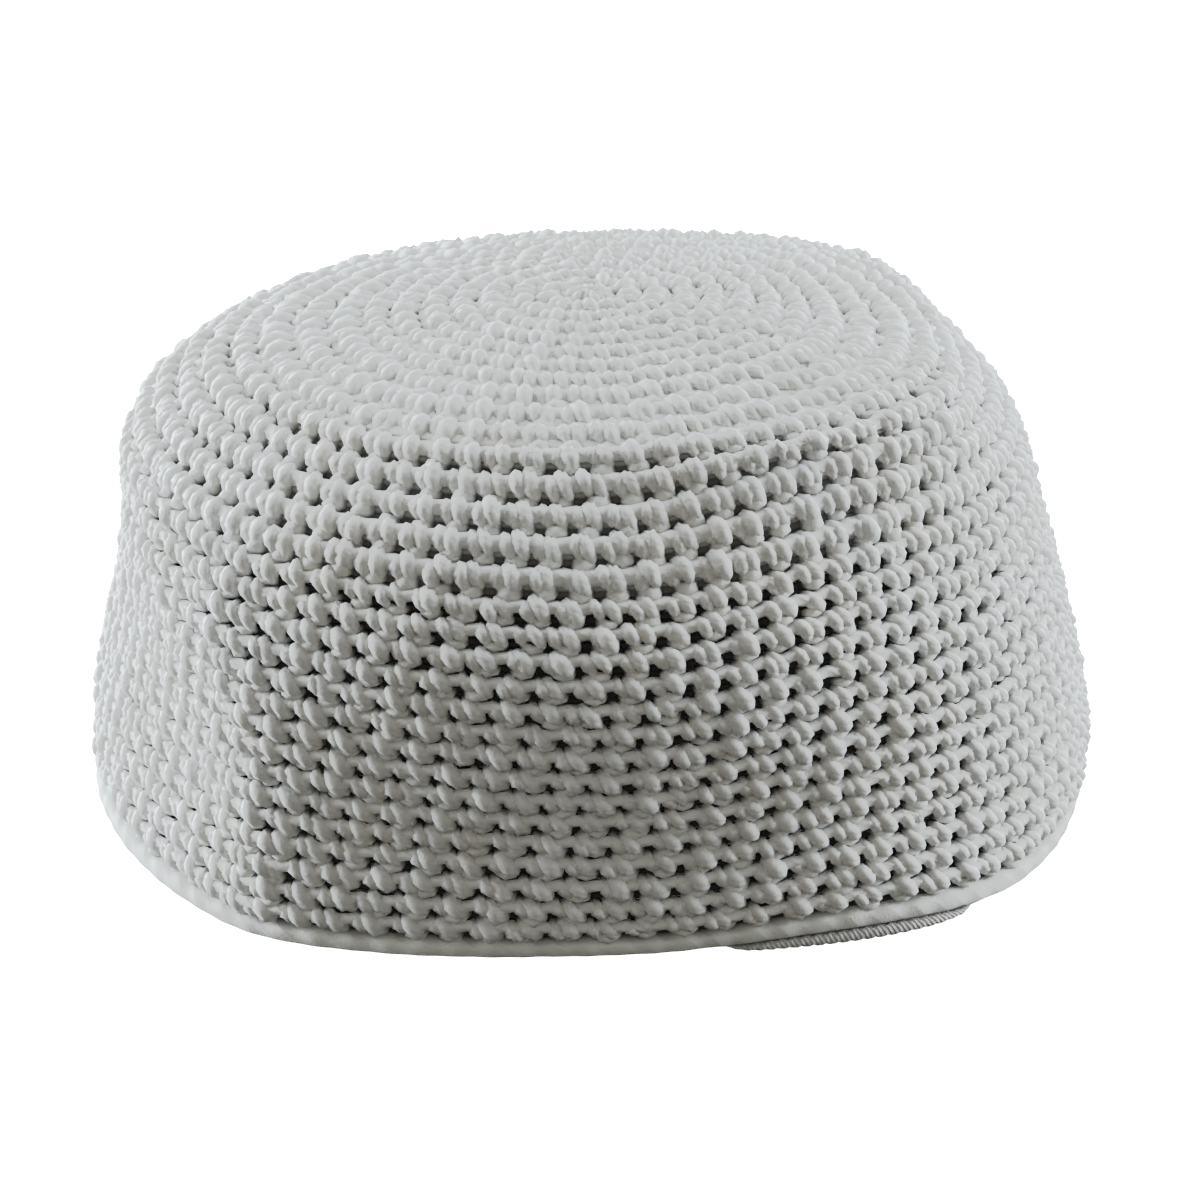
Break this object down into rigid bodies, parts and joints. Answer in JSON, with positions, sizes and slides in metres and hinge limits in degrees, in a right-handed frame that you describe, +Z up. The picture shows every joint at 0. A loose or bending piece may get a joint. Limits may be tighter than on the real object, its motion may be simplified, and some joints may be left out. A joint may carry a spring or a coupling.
{
  "type": "crocheted kufi cap",
  "caption": "Soft brimless skullcap of thick off-white yarn, crocheted in the round, with a smooth rim edging and a turned-in hem.",
  "frame": {"origin": "under the middle of the cap's box, on the surface that the rim rests on", "axes": "+Z up out of the crown, -Y towards the front, +X to the right as seen from the front, along the cap's longer side"},
  "size_m": [0.194, 0.1758, 0.091],
  "materials": {
    "yarn": "thick matte off-white cotton yarn in upright crochet stitches",
    "edging_yarn": "matte off-white cotton yarn laid in a smooth round",
    "hem_yarn": "matte off-white cotton yarn, twisted, in shade"
  },
  "bodies": {
    "root": {"cap_body": "yarn", "rim_edging": "edging_yarn", "inner_hem": "hem_yarn"}
  },
  "joints": []
}
